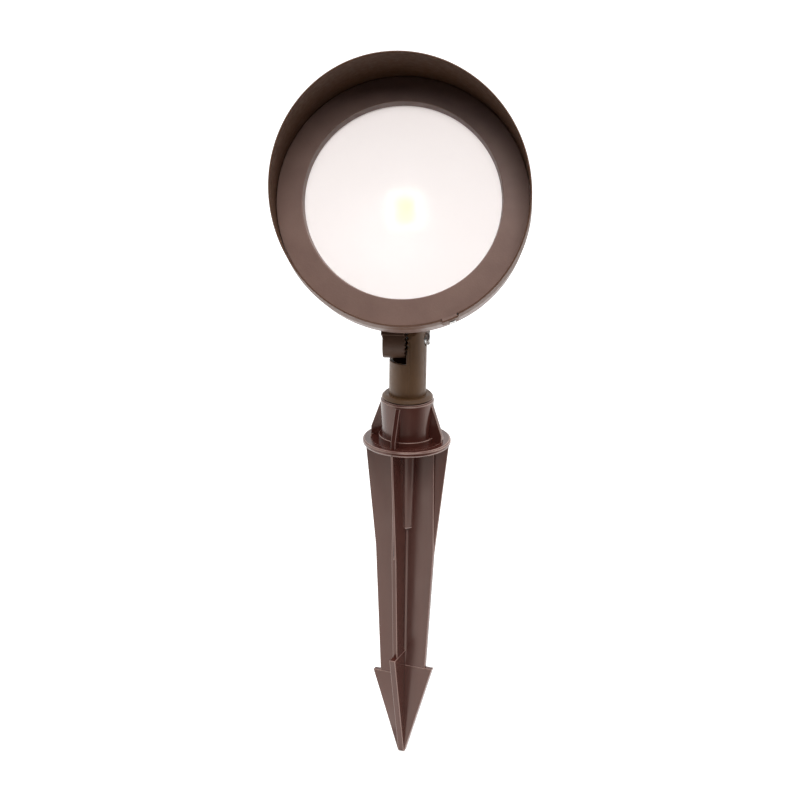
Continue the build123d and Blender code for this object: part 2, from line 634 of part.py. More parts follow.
def make_reflector():
    back = HOLDER_FRONT
    front = LIP_BACK
    lip_r = LENS_LEDGE_R - SEAT_FIT
    outer = bowl_solid(REFLECTOR_MOUTH_R, front, REFLECTOR_THROAT_R + REFLECTOR_WALL, back, REFLECTOR_BULGE)
    mouth_r = REFLECTOR_MOUTH_R - REFLECTOR_WALL
    inner = bowl_solid(mouth_r, front - SEAT_FIT, REFLECTOR_THROAT_R, back, REFLECTOR_BULGE)
    lip = rod_back(lip_r, LENS_SEAT, front) - rod_back(mouth_r, LENS_SEAT - OVERLAP, front + OVERLAP)
    throat = rod_back(REFLECTOR_THROAT_R, back - OVERLAP, back + OVERLAP)
    return outer - inner - throat + lip


def make_led_plate():
    disc = rod_back(PLATE_R, PLATE_FRONT, PLATE_SEAT)
    cuts = [place * rod(PLATE_SCREW_R + SCREW_FIT, -OVERLAP - PLATE_T, OVERLAP)
            for place in plate_screw_places(PLATE_FRONT)]
    cuts += [place * rod(HOLDER_SCREW_R + THREAD_FIT, -HOLDER_SCREW_BITE - BLIND, OVERLAP)
             for place in holder_screw_places(PLATE_FRONT)]
    cuts += [Pos(side * LEAD_SPACING / 2, LEAD_Y, 0) * rod_back(
        LEAD_R + LEAD_HOLE_MARGIN, PLATE_FRONT - OVERLAP, PLATE_SEAT + OVERLAP) for side in (-1, 1)]
    for cut in cuts:
        disc = disc - cut
    return disc


def make_led_plate_screws():
    screw = pan_screw(PLATE_SCREW_R, PLATE_SCREW_HEAD_R, PLATE_SCREW_HEAD_H, PLATE_T + PLATE_SCREW_BITE)
    return [place * screw for place in plate_screw_places(PLATE_FRONT)]


def make_led_board():
    return slab_back(BOARD_W, BOARD_H, BOARD_CORNER_R, PLATE_FRONT - BOARD_T, PLATE_FRONT)


def make_led_phosphor():
    back = PLATE_FRONT - BOARD_T
    return slab_back(PHOSPHOR_W, PHOSPHOR_H, BOARD_CORNER_R, back - PHOSPHOR_T, back)


def holder_screw_places(depth):
    """Places of the holder's two screws, in opposite corners."""
    x = HOLDER_W / 2 - HOLDER_SCREW_INSET
    y = HOLDER_H / 2 - HOLDER_SCREW_INSET
    return [Pos(side * x, -side * y, -depth) for side in (-1, 1)]


def make_led_holder():
    frame = slab_back(HOLDER_W, HOLDER_H, HOLDER_CORNER_R, HOLDER_FRONT, PLATE_FRONT)
    pocket_top = PLATE_FRONT - BOARD_T - SEAT_FIT
    pocket = slab_back(BOARD_W + SEAT_FIT, BOARD_H + SEAT_FIT, BOARD_CORNER_R, pocket_top, PLATE_FRONT)
    window_w = BOARD_W - 2 * HOLDER_LIP
    window_h = BOARD_H - 2 * HOLDER_LIP
    window = slab_back(window_w, window_h, BOARD_CORNER_R, HOLDER_FRONT, PLATE_FRONT)
    frame = frame - pocket - window
    seat = HOLDER_FRONT + HOLDER_SCREW_HEAD_H
    for place in holder_screw_places(seat):
        frame = frame - place * rod(HOLDER_SCREW_R + SCREW_FIT, -HOLDER_T, OVERLAP)
        frame = frame - place * rod(HOLDER_SCREW_HEAD_R + SCREW_FIT, 0, HOLDER_T)
    for side in (-1, 1):
        terminal = Pos(side * LEAD_SPACING / 2, -HOLDER_H / 2, -LEAD_DEPTH) * Rot(90, 0, 0)
        frame = frame - terminal * rod(LEAD_R + THREAD_FIT, -LEAD_BITE, OVERLAP)
    return frame


def make_holder_screws():
    length = HOLDER_T - HOLDER_SCREW_HEAD_H + HOLDER_SCREW_BITE
    screw = pan_screw(HOLDER_SCREW_R, HOLDER_SCREW_HEAD_R, HOLDER_SCREW_HEAD_H, length)
    return [place * screw for place in holder_screw_places(HOLDER_FRONT + HOLDER_SCREW_HEAD_H)]


def make_driver():
    case = slab_back(DRIVER_W, DRIVER_H, DRIVER_CORNER_R, DRIVER_FRONT, CHAMBER_END)
    case = fillet(case.edges().group_by(Axis.Z)[-1], DRIVER_EDGE_R)
    ear_span = DRIVER_W + 2 * DRIVER_EAR_L
    ears = slab_back(ear_span, DRIVER_EAR_W, DRIVER_CORNER_R, CHAMBER_END - DRIVER_EAR_T, CHAMBER_END)
    case = case + ears
    for place in driver_screw_places(CHAMBER_END):
        case = case - place * rod(DRIVER_SCREW_R + SCREW_FIT, -OVERLAP, 2 * DRIVER_EAR_T)
    for side in (-1, 1):
        socket = Pos(side * LEAD_SPACING / 2, LEAD_Y, 0)
        case = case - socket * rod_back(LEAD_R + THREAD_FIT, DRIVER_FRONT - OVERLAP, DRIVER_FRONT + LEAD_BITE)
    return case


def make_driver_screws():
    length = DRIVER_EAR_T + DRIVER_SCREW_BITE
    screw = pan_screw(DRIVER_SCREW_R, DRIVER_SCREW_HEAD_R, DRIVER_SCREW_HEAD_H, length)
    return [place * screw for place in driver_screw_places(CHAMBER_END - DRIVER_EAR_T)]


def make_led_leads():
    leads = []
    for side in (-1, 1):
        x = side * LEAD_SPACING / 2
        start = (x, -HOLDER_H / 2 + LEAD_BITE, -LEAD_DEPTH)
        corner = (x, LEAD_Y, -LEAD_DEPTH)
        end = (x, LEAD_Y, -DRIVER_FRONT - LEAD_BITE)
        route = FilletPolyline([start, corner, end], radius=LEAD_BEND_R)
        section = Plane(origin=start, z_dir=(0, -1, 0)) * Circle(LEAD_R)
        leads.append(sweep(section, path=route))
    return leads


def make_visor():
    middle = (VISOR_DEEP + VISOR_SHALLOW) / 2
    slope = (VISOR_DEEP - VISOR_SHALLOW) / 2 / VISOR_R
    length = VISOR_DEEP + OVERLAP
    sleeve = rod(VISOR_R, -VISOR_BAND, length)
    pad_arc = rod_back(PAD_R, BEZEL_CROWN + PAD_SETBACK, VISOR_BAND)
    pad_block = Pos(0, -PAD_R + PAD_W / 2, 0) * slab_back(PAD_W, PAD_W, PAD_CORNER_R, 0, VISOR_BAND)
    cut_plane = Plane(origin=(0, 0, middle), z_dir=(0, -slope, 1))
    front = cut_plane * Box(
        4 * VISOR_R, 4 * VISOR_R, 2 * VISOR_DEEP, align=(Align.CENTER, Align.CENTER, Align.MIN))
    visor = (sleeve - front) + PAD_PLACE * (pad_arc & pad_block)
    visor = visor - rod(VISOR_BORE_R, -VISOR_BAND - OVERLAP, length + OVERLAP)
    shoe_room = sector(SHOE_W + 2 * SHOE_MARGIN) & rod_back(
        VISOR_R + SHOE_MARGIN, -VISOR_DEEP, SHOE_BACK + SHOE_MARGIN)
    visor = visor - shoe_room
    return visor - visor_screw_place() * rod(VISOR_SCREW_R + SCREW_FIT, -BEZEL_R, OVERLAP)


def sector(width):
    """Straight-sided slice of the head at the visor's pad."""
    return PAD_PLACE * Pos(0, -VISOR_R, 0) * Box(width, VISOR_R, 2 * VISOR_R)


def visor_screw_place():
    """Seat of the clamp screw's head on the pad, looking outwards."""
    turn = degrees(VISOR_SCREW_OFFSET / PAD_R)
    return PAD_PLACE * Rot(0, 0, turn) * Pos(0, -PAD_R, -VISOR_SCREW_DEPTH) * Rot(90, 0, 0)


def make_visor_shoe():
    ring = turned_back([
        (SHOE_BORE_R - BEZEL_EDGE, BEZEL_CROWN), (VISOR_R, BEZEL_CROWN), (VISOR_R, SHOE_BACK),
        (SHOE_BORE_R, SHOE_BACK), (SHOE_BORE_R, BEZEL_CROWN + BEZEL_EDGE),
    ])
    shoe = ring & sector(SHOE_W)
    return shoe - visor_screw_place() * rod(VISOR_SCREW_R + THREAD_FIT, -BEZEL_R, OVERLAP)


def make_visor_screw():
    tip = BEZEL_R - VISOR_GROOVE_DEPTH + SCREW_FIT
    screw = pan_screw(VISOR_SCREW_R, VISOR_SCREW_HEAD_R, VISOR_SCREW_HEAD_H, PAD_R - tip)
    return visor_screw_place() * screw


def in_place(place, pieces):
    """Moves a solid or a list of solids to its place, as one node."""
    if isinstance(pieces, list):
        return Compound(children=[place * piece for piece in pieces])
    return place * pieces


ROW_PLACE = Pos(0, 0, 0)
NODES = {
    "ground_stake": (ROW_PLACE, make_ground_stake),
    "knuckle_stem": (ROW_PLACE, make_knuckle_stem),
    "lock_ring": (ROW_PLACE, make_lock_ring),
    "knuckle_arm": (ARM_PLACE, make_knuckle_arm),
    "arm_gasket": (ARM_PLACE, make_arm_gasket),
    "arm_screws": (ARM_PLACE, make_arm_screws),
    "pivot_bolt": (ARM_PLACE, make_pivot_bolt),
    "flat_washer": (ARM_PLACE, make_flat_washer),
    "spring_washer": (ARM_PLACE, make_spring_washer),
    "wire_grommet": (ARM_PLACE, make_wire_grommet),
    "housing": (HEAD_PLACE, make_housing),
    "bezel": (HEAD_PLACE, make_bezel),
    "bezel_screws": (HEAD_PLACE, make_bezel_screws),
    "lens": (HEAD_PLACE, make_lens),
    "lens_gasket": (HEAD_PLACE, make_lens_gasket),
    "reflector": (HEAD_PLACE, make_reflector),
    "led_plate": (HEAD_PLACE, make_led_plate),
    "led_plate_screws": (HEAD_PLACE, make_led_plate_screws),
    "led_board": (HEAD_PLACE, make_led_board),
    "led_phosphor": (HEAD_PLACE, make_led_phosphor),
    "led_holder": (HEAD_PLACE, make_led_holder),
    "holder_screws": (HEAD_PLACE, make_holder_screws),
    "led_leads": (HEAD_PLACE, make_led_leads),
    "driver": (HEAD_PLACE, make_driver),
    "driver_screws": (HEAD_PLACE, make_driver_screws),
    "visor": (VISOR_PLACE, make_visor),
    "visor_shoe": (VISOR_PLACE, make_visor_shoe),
    "visor_screw": (VISOR_PLACE, make_visor_screw),
}

os.makedirs("parts", exist_ok=True)
for node, (place, make) in NODES.items():
    export_step(in_place(place, make()), f"parts/{node}.step")
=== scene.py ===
import json
from math import cos, pi, radians, sin

import bmesh
import bpy
import numpy as np
from mathutils import Matrix, Vector


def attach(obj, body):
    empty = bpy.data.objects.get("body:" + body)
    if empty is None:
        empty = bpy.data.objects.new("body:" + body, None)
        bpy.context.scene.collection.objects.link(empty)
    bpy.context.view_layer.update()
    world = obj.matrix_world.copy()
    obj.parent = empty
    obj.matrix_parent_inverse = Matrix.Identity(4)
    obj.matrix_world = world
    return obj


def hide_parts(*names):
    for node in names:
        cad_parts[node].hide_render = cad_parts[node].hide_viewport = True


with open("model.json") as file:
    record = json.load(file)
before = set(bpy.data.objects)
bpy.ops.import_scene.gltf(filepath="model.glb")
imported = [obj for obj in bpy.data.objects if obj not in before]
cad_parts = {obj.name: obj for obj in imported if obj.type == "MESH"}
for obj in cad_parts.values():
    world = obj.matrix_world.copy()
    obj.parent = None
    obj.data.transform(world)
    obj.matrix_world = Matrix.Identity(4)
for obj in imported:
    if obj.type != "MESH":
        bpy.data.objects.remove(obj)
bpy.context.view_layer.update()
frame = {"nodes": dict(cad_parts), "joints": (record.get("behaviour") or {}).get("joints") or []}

# Ground stake: one injection moulding of brown plastic, with its blades, flange, gussets and socket hub.
# A polished mould leaves it glossy, and the flow of the plastic shows as faint lengthwise streaks.
# Its rounded edges carry a paler material, a painted highlight along them.
WELD, FLAT, FOLD = 0.000002, radians(0.3), radians(32)
EDGE_STEPS = 2
STAKE_EDGE = 0.0004
WEB_CORNER_LOW, WEB_CORNER_HIGH = 0.0009, 0.0019
STAKE_BROWN = (0.095, 0.028, 0.020)
STAKE_SHADE = (0.068, 0.019, 0.014)
# Paler colours of the rounded edge strips: a painted highlight.
EDGE_HIGHLIGHT_PALE = (0.42, 0.28, 0.24)
EDGE_HIGHLIGHT_DULL = (0.24, 0.14, 0.12)
STAKE_GLOSS, STAKE_GLOSS_TINT = 0.85, (1.0, 0.80, 0.71, 1)
STAKE_ROUGHNESS = (0.16, 0.27)
FLOW_STREAKS, FLOW_STRETCH = 60, (1, 1, 0.12)
MOULD_PATCHES, MOULD_WAVES, MOULD_STRETCH, MOULD_WAVE_DEPTH = 140, 34, (1, 1, 0.3), 0.0005
NOISE_LOW, NOISE_HIGH = 0.3, 0.7


def finish(name, sockets):
    """A new material with its shader's sockets set by name, and its node tree."""
    material = bpy.data.materials.new(name)
    material.use_nodes = True
    shader = material.node_tree.nodes["Principled BSDF"]
    for socket, value in sockets.items():
        shader.inputs[socket].default_value = value
    return material, material.node_tree


def mottle(tree, scale, stretch=(1, 1, 1), detail=3.0):
    """Noise over Object coordinates with marks about 1/scale metres across, drawn out by stretch."""
    place = tree.nodes.new("ShaderNodeTexCoord")
    spread = tree.nodes.new("ShaderNodeMapping")
    noise = tree.nodes.new("ShaderNodeTexNoise")
    spread.inputs["Scale"].default_value = stretch
    noise.inputs["Scale"].default_value = scale
    noise.inputs["Detail"].default_value = detail
    tree.links.new(place.outputs["Object"], spread.inputs["Vector"])
    tree.links.new(spread.outputs["Vector"], noise.inputs["Vector"])
    return noise.outputs[0]


def tinted(tree, value, dark, light, low=0.35, high=0.65):
    """Base colour running from dark to light while a value runs from low to high."""
    ramp = tree.nodes.new("ShaderNodeValToRGB")
    ramp.color_ramp.elements[0].position = low
    ramp.color_ramp.elements[0].color = (*dark, 1)
    ramp.color_ramp.elements[1].position = high
    ramp.color_ramp.elements[1].color = (*light, 1)
    tree.links.new(value, ramp.inputs["Fac"])
    tree.links.new(ramp.outputs["Color"], tree.nodes["Principled BSDF"].inputs["Base Color"])


def varied(tree, value, socket, low, high):
    """One of the shader's numbers, running between low and high with a noise value."""
    span = tree.nodes.new("ShaderNodeMapRange")
    span.inputs["From Min"].default_value = NOISE_LOW
    span.inputs["From Max"].default_value = NOISE_HIGH
    span.inputs["To Min"].default_value = low
    span.inputs["To Max"].default_value = high
    tree.links.new(value, span.inputs["Value"])
    tree.links.new(span.outputs["Result"], tree.nodes["Principled BSDF"].inputs[socket])


def embossed(tree, layers):
    """Bump from (value, depth in metres) layers, each laid over the one before."""
    last = None
    for value, depth in layers:
        bump = tree.nodes.new("ShaderNodeBump")
        bump.inputs["Distance"].default_value = depth
        tree.links.new(value, bump.inputs["Height"])
        if last:
            tree.links.new(last, bump.inputs["Normal"])
        last = bump.outputs["Normal"]
    tree.links.new(last, tree.nodes["Principled BSDF"].inputs["Normal"])


def moulded_plastic(name, dark, light):
    """Brown gloss: a clear reflection broken by long flow streaks and a faint waviness of the mould."""
    material, tree = finish(name, {"Specular IOR Level": STAKE_GLOSS, "Specular Tint": STAKE_GLOSS_TINT})
    tinted(tree, mottle(tree, FLOW_STREAKS, FLOW_STRETCH), dark, light)
    varied(tree, mottle(tree, MOULD_PATCHES, MOULD_STRETCH), "Roughness", *STAKE_ROUGHNESS)
    embossed(tree, [(mottle(tree, MOULD_WAVES, MOULD_STRETCH, detail=0.0), MOULD_WAVE_DEPTH)])
    return material


def placed(piece, body, slot, material, *nodes):
    """Gives a piece its material and body, and hides the CAD nodes that it stands for; slot is not used."""
    piece.data.materials.clear()
    piece.data.materials.append(material)
    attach(piece, body)
    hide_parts(*nodes)


def in_rim(low, high):
    """Whether an edge between two heights is at a web's top corner, which is mostly sunk in the flange."""
    return low > -WELD and WEB_CORNER_LOW < high < WEB_CORNER_HIGH


def softened(node, name, edge, spared=lambda low, high: False):
    """A node's own skin, welded and with its flat facets merged. Edges that turn outwards by more than the
    fold's angle are rounded by a bevel as wide as edge; inner corners and spared edges stay sharp."""
    skin = bmesh.new()
    skin.from_mesh(frame["nodes"][node].data)
    bmesh.ops.remove_doubles(skin, verts=skin.verts, dist=WELD)
    bmesh.ops.dissolve_limit(skin, angle_limit=FLAT, verts=skin.verts, edges=skin.edges)
    weight = skin.edges.layers.float.new("bevel_weight_edge")
    for line in skin.edges:
        turn = line.calc_face_angle_signed(0)
        rounds = turn > FOLD and not spared(*sorted(end.co.z for end in line.verts))
        line[weight] = float(rounds)
        line.smooth = rounds or abs(turn) < FOLD
    mesh = bpy.data.meshes.new(name)
    skin.to_mesh(mesh)
    skin.free()
    mesh.polygons.foreach_set("use_smooth", np.ones(len(mesh.polygons), bool))
    piece = bpy.data.objects.new(name, mesh)
    bpy.context.scene.collection.objects.link(piece)
    bevel = piece.modifiers.new("edge", "BEVEL")
    bevel.width = edge
    bevel.segments = EDGE_STEPS
    bevel.use_clamp_overlap = False
    bevel.miter_outer = "MITER_ARC"
    bevel.limit_method = "WEIGHT"
    piece.modifiers.new("even", "WEIGHTED_NORMAL").keep_sharp = True
    return piece


stake = softened("ground_stake", "stake_moulding", STAKE_EDGE, in_rim)
stake_gloss = moulded_plastic("stake_brown_gloss", STAKE_SHADE, STAKE_BROWN)
placed(stake, "stake", "stake_plastic", stake_gloss, "ground_stake")
# The bevel's strips take the second, paler material: a painted highlight along the edges.
stake.data.materials.append(moulded_plastic("stake_painted_edge_highlight", EDGE_HIGHLIGHT_DULL, EDGE_HIGHLIGHT_PALE))
stake.modifiers["edge"].material = 1

# Post with its half of the knuckle: a die casting under an olive bronze powder coat.
# It turns in the stake's hub, and its face has radial teeth that hold the tilt.
POST_EDGE = 0.0004
POST_LIGHT = (0.168, 0.084, 0.036)
POST_DARK = (0.138, 0.068, 0.028)
POST_GLOSS = 0.5
PAINT_CLOUDS, PAINT_CLOUD_DETAIL, PAINT_PATCHES = 45, 5.0, 300
PAINT_ROUGHNESS = (0.36, 0.5)
PAINT_DIMPLES = [(900, 0.00006), (3200, 0.00002)]


def dimpled(tree):
    """Bump of cured powder: broad dimples and then fine ones, each a (noise scale, depth in metres)."""
    embossed(tree, [(mottle(tree, scale, detail=1.0), depth) for scale, depth in PAINT_DIMPLES])


def powder_coat(name, dark, light, gloss):
    """Baked powder paint: a soft cloudy tone, a satin gloss that varies, and the powder's dimples."""
    material, tree = finish(name, {"Specular IOR Level": gloss})
    tinted(tree, mottle(tree, PAINT_CLOUDS, detail=PAINT_CLOUD_DETAIL), dark, light)
    varied(tree, mottle(tree, PAINT_PATCHES), "Roughness", *PAINT_ROUGHNESS)
    dimpled(tree)
    return material


post = softened("knuckle_stem", "post_casting", POST_EDGE)
post_paint = powder_coat("post_olive_bronze", POST_DARK, POST_LIGHT, POST_GLOSS)
placed(post, "stem", "bronze_stem", post_paint, "knuckle_stem")

# Lock ring: a turned aluminium nut, run down the post's thread on to the hub and painted with the post.
# Its foot is undercut, which leaves a dark line above the hub.
RING_BORE, RING_FOOT_OUT, RING_OUT, RING_TOP_OUT = 0.01152, 0.0144, 0.0158, 0.0142
RING_LOW, RING_HIGH, RING_LIP = 0.0301, 0.0331, 0.0007
RING_ROUND, RING_TURNS = 0.00025, 160
ROUND_STEPS, ROUND_MOST = 4, 0.45


def grid_piece(name, points):
    """Piece from a (rows, columns, 3) grid of points that closes on itself both ways: each four neighbours
    make a face, and all faces are turned round if the volume that they enclose comes out negative."""
    rows, columns = points.shape[:2]
    index = np.arange(rows * columns).reshape(rows, columns)
    index = np.vstack([index, index[:1]])
    index = np.hstack([index, index[:, :1]])
    faces = np.stack([index[:-1, :-1], index[1:, :-1], index[1:, 1:], index[:-1, 1:]], -1).reshape(-1, 4)
    flat = points.reshape(-1, 3)
    a, b, c, d = (flat[faces[:, k]] - flat.mean(0) for k in range(4))
    if np.einsum("ij,ij->", a, np.cross(b, c)) + np.einsum("ij,ij->", a, np.cross(c, d)) < 0:
        faces = faces[:, ::-1]
    mesh = bpy.data.meshes.new(name)
    mesh.from_pydata(flat.tolist(), [], faces.tolist())
    mesh.polygons.foreach_set("use_smooth", np.ones(len(faces), bool))
    piece = bpy.data.objects.new(name, mesh)
    bpy.context.scene.collection.objects.link(piece)
    piece.modifiers.new("even", "WEIGHTED_NORMAL")
    return piece


def rounded(corners, radius):
    """Closed outline with its corners swapped for short curves: each is (1-t)^2 a + 2t(1-t) corner + t^2 b,
    with a and b on the two sides, a radius away from the corner or at most a set share of the side."""
    corner = np.array(corners, float)
    before, after = np.roll(corner, 1, 0) - corner, np.roll(corner, -1, 0) - corner
    long_before = np.linalg.norm(before, axis=1, keepdims=True)
    long_after = np.linalg.norm(after, axis=1, keepdims=True)
    a = corner + before / long_before * np.minimum(radius, ROUND_MOST * long_before)
    b = corner + after / long_after * np.minimum(radius, ROUND_MOST * long_after)
    t = np.linspace(0, 1, ROUND_STEPS + 1)[None, :, None]
    curve = (1 - t) ** 2 * a[:, None] + 2 * t * (1 - t) * corner[:, None] + t ** 2 * b[:, None]
    return curve.reshape(-1, 2)


def turned(profile, count):
    """Grid of a profile of (radius, height) points carried round the z axis in even steps."""
    angle = np.linspace(0, 2 * pi, count, endpoint=False)[:, None]
    r, z = profile[None, :, 0], profile[None, :, 1]
    return np.stack([r * np.cos(angle), r * np.sin(angle), z + 0 * angle], -1)


ring_profile = rounded([
    (RING_BORE, RING_LOW), (RING_FOOT_OUT, RING_LOW), (RING_FOOT_OUT, RING_LOW + RING_LIP),
    (RING_OUT, RING_LOW + RING_LIP), (RING_OUT, RING_LOW + 2 * RING_LIP), (RING_TOP_OUT, RING_HIGH),
    (RING_BORE, RING_HIGH),
], RING_ROUND)
lock_ring = grid_piece("lock_ring_nut", turned(ring_profile, RING_TURNS))
placed(lock_ring, "stem", "bronze_stem", post_paint, "lock_ring")

# Knuckle arm: the tilting half of the knuckle, a die casting painted darker than the head, a painted shade
# of the head above it.
# Two countersunk screws hold its saddle under the housing, over a rubber gasket.
ARM_EDGE = 0.0005
# A darker paint than the head's: painted shade of the head that hangs over the arm.
ARM_SHADED_LIGHT = (0.135, 0.074, 0.048)
ARM_SHADED_DARK = (0.108, 0.058, 0.037)
ARM_GLOSS = 0.2
arm = softened("knuckle_arm", "knuckle_casting", ARM_EDGE)
arm_shaded_paint = powder_coat("arm_bronze_painted_shade", ARM_SHADED_DARK, ARM_SHADED_LIGHT, ARM_GLOSS)
placed(arm, "head", "bronze_cast", arm_shaded_paint, "knuckle_arm")

# Rubber seals: black silicone mouldings, squeezed between the pieces that they seal.
# One lies between the arm's saddle and the housing and one behind the lens, and the grommet lines the
# supply lead's passage.
SEAL_EDGE = 0.0002
SEAL_LIGHT = (0.040, 0.038, 0.037)
SEAL_DARK = (0.018, 0.018, 0.018)
SEAL_GLOSS, SEAL_ROUGHNESS = 0.3, (0.65, 0.85)
SEAL_DUST, SEAL_PATCHES, SEAL_GRAIN, SEAL_GRAIN_DEPTH = 400, 700, 2500, 0.00003


def silicone(name):
    """Black silicone: matt, slightly dusty, with a fine skin texture."""
    material, tree = finish(name, {"Specular IOR Level": SEAL_GLOSS})
    tinted(tree, mottle(tree, SEAL_DUST), SEAL_DARK, SEAL_LIGHT)
    varied(tree, mottle(tree, SEAL_PATCHES), "Roughness", *SEAL_ROUGHNESS)
    embossed(tree, [(mottle(tree, SEAL_GRAIN), SEAL_GRAIN_DEPTH)])
    return material


black_silicone = silicone("black_silicone")
for node in ("arm_gasket", "wire_grommet", "lens_gasket"):
    placed(softened(node, node + "_moulding", SEAL_EDGE), "head", "gasket_rubber", black_silicone, node)

# Pivot bolt, its washers and all the screws: zinc-plated steel, turned and rolled bright.
# The bolt clamps the knuckle, and the screws hold the arm, the bezel, the LED, the driver and the visor.
BOLT_EDGE, SCREW_EDGE = 0.00003, 0.0002
ZINC_LIGHT = (0.88, 0.88, 0.86)
ZINC_DARK = (0.70, 0.70, 0.69)
ZINC_METAL, ZINC_ROUGHNESS = 0.75, (0.2, 0.38)
ZINC_CLOUDS = 500
ZINC_PATCHES, ZINC_PATCH_STRETCH = 900, (4, 1, 1)
TURNING_LINES, TURNING_STRETCH, TURNING_DEPTH = 2600, (6, 1, 1), 0.00003


def zinc_steel(name):
    """Bright zinc: metal with fine turning lines and a slightly cloudy plating."""
    material, tree = finish(name, {"Metallic": ZINC_METAL})
    tinted(tree, mottle(tree, ZINC_CLOUDS), ZINC_DARK, ZINC_LIGHT)
    varied(tree, mottle(tree, ZINC_PATCHES, ZINC_PATCH_STRETCH), "Roughness", *ZINC_ROUGHNESS)
    embossed(tree, [(mottle(tree, TURNING_LINES, TURNING_STRETCH), TURNING_DEPTH)])
    return material


bright_zinc = zinc_steel("bright_zinc")
for node in ("flat_washer", "spring_washer", "arm_screws", "bezel_screws", "led_plate_screws",
             "holder_screws", "driver_screws"):
    placed(softened(node, node + "_steel", SCREW_EDGE), "head", "steel", bright_zinc, node)
pivot_bolt = softened("pivot_bolt", "pivot_bolt_steel", BOLT_EDGE)
placed(pivot_bolt, "head", "steel", bright_zinc, "pivot_bolt")
visor_screw = softened("visor_screw", "visor_screw_steel", SCREW_EDGE)
placed(visor_screw, "visor", "steel", bright_zinc, "visor_screw")

# Housing: the finned die casting that carries the head, painted dark bronze all over.
# The LED's plate and the driver are screwed down inside it, and the knuckle arm under it.
HOUSING_EDGE = 0.0005
CAST_LIGHT = (0.258, 0.158, 0.128)
CAST_DARK = (0.220, 0.132, 0.107)
CAST_GLOSS = 0.35
housing = softened("housing", "housing_casting", HOUSING_EDGE)
cast_paint = powder_coat("cast_dark_bronze", CAST_DARK, CAST_LIGHT, CAST_GLOSS)
placed(housing, "head", "bronze_cast", cast_paint, "housing")

# Bezel: a turned ring with a slightly crowned face that clamps the lens, screwed on from behind.
# The groove round it takes the tip of the visor's screw.
# Its own frame has z along the beam and y up, with the crest of the bezel's face at z = 0.
BEZEL_OUT, BEZEL_MOUTH, BEZEL_OPENING = 0.07555, 0.0599, 0.0588
BEZEL_CROWN, BEZEL_BACK, BEZEL_LENS_SEAT, BEZEL_BORE = -0.002, -0.011, -0.0077, 0.0636
CLAMP_GROOVE_OUT, CLAMP_GROOVE_LOW, CLAMP_GROOVE_HIGH = 0.07435, -0.0072, -0.0038
BEZEL_ROUND, BEZEL_TURNS = 0.0006, 256
beam_joint = next(joint for joint in frame["joints"] if joint["name"] == "visor_turn")
HEAD_ORIGIN, BEAM = np.array(beam_joint["pos_m"]), np.array(beam_joint["axis"])
HEAD_ACROSS = np.array([1.0, 0.0, 0.0])
HEAD_AXES = np.stack([HEAD_ACROSS, np.cross(BEAM, HEAD_ACROSS), BEAM])


def on_head(points, turn=0.0):
    """Points of the head's frame in the row frame, first turned about the beam: the origin, plus x, y and z
    times the head's three axes."""
    c, s = cos(turn), sin(turn)
    x, y, z = points[..., 0], points[..., 1], points[..., 2]
    return HEAD_ORIGIN + np.stack([c * x - s * y, s * x + c * y, z], -1) @ HEAD_AXES


bezel_profile = rounded([
    (BEZEL_MOUTH, 0), (BEZEL_OUT, BEZEL_CROWN), (BEZEL_OUT, CLAMP_GROOVE_HIGH),
    (CLAMP_GROOVE_OUT, CLAMP_GROOVE_HIGH), (CLAMP_GROOVE_OUT, CLAMP_GROOVE_LOW),
    (BEZEL_OUT, CLAMP_GROOVE_LOW), (BEZEL_OUT, BEZEL_BACK), (BEZEL_BORE, BEZEL_BACK),
    (BEZEL_BORE, BEZEL_LENS_SEAT), (BEZEL_OPENING, BEZEL_LENS_SEAT),
], BEZEL_ROUND)
bezel = grid_piece("bezel_ring", on_head(turned(bezel_profile, BEZEL_TURNS)))
placed(bezel, "head", "bronze_cast", cast_paint, "bezel")

# Lens: a round pane of tempered glass with a ground edge and a lightly etched face.
# The bezel presses it down on its gasket.
LENS_OUT, LENS_FRONT, LENS_REAR, LENS_EDGE = 0.0634, -0.0077, -0.0117, 0.0006
LENS_MID, LENS_CENTRE, LENS_TURNS = LENS_OUT * 0.5, 0.00001, 192
LENS_TINT, LENS_CLEAR, LENS_IOR, LENS_GLOSS = (1.0, 0.985, 0.98, 1), 0.92, 1.5, 0.2
LENS_ROUGHNESS = (0.36, 0.40)
ETCH_PATCHES, ETCH_GRAIN, ETCH_DEPTH = 240, 1800, 0.00001


def frosted_glass():
    """Tempered glass: nearly all of it rough transmission, so that what lies behind is softened."""
    material, tree = finish("frosted_glass", {
        "Base Color": LENS_TINT, "Transmission Weight": LENS_CLEAR, "IOR": LENS_IOR,
        "Specular IOR Level": LENS_GLOSS,
    })
    varied(tree, mottle(tree, ETCH_PATCHES), "Roughness", *LENS_ROUGHNESS)
    embossed(tree, [(mottle(tree, ETCH_GRAIN), ETCH_DEPTH)])
    return material


lens_profile = np.array([
    (LENS_CENTRE, LENS_FRONT), (LENS_MID, LENS_FRONT), (LENS_OUT - LENS_EDGE, LENS_FRONT),
    (LENS_OUT, LENS_FRONT - LENS_EDGE), (LENS_OUT, LENS_REAR + LENS_EDGE),
    (LENS_OUT - LENS_EDGE, LENS_REAR), (LENS_MID, LENS_REAR), (LENS_CENTRE, LENS_REAR),
])
lens = grid_piece("lens_pane", on_head(turned(lens_profile, LENS_TURNS)))
placed(lens, "head", "lens_glass", frosted_glass(), "lens")

# Reflector: a spun aluminium bowl, anodised bright with a fine hammered surface.
# The bowl glows: a painted glow that stands in for the light of the dimly lit LED.
BOWL_EDGE = 0.0003
BOWL_LIGHT = (0.22, 0.22, 0.22)
BOWL_DARK = (0.19, 0.19, 0.19)
BOWL_METAL, BOWL_ROUGHNESS = 0.2, (0.35, 0.5)
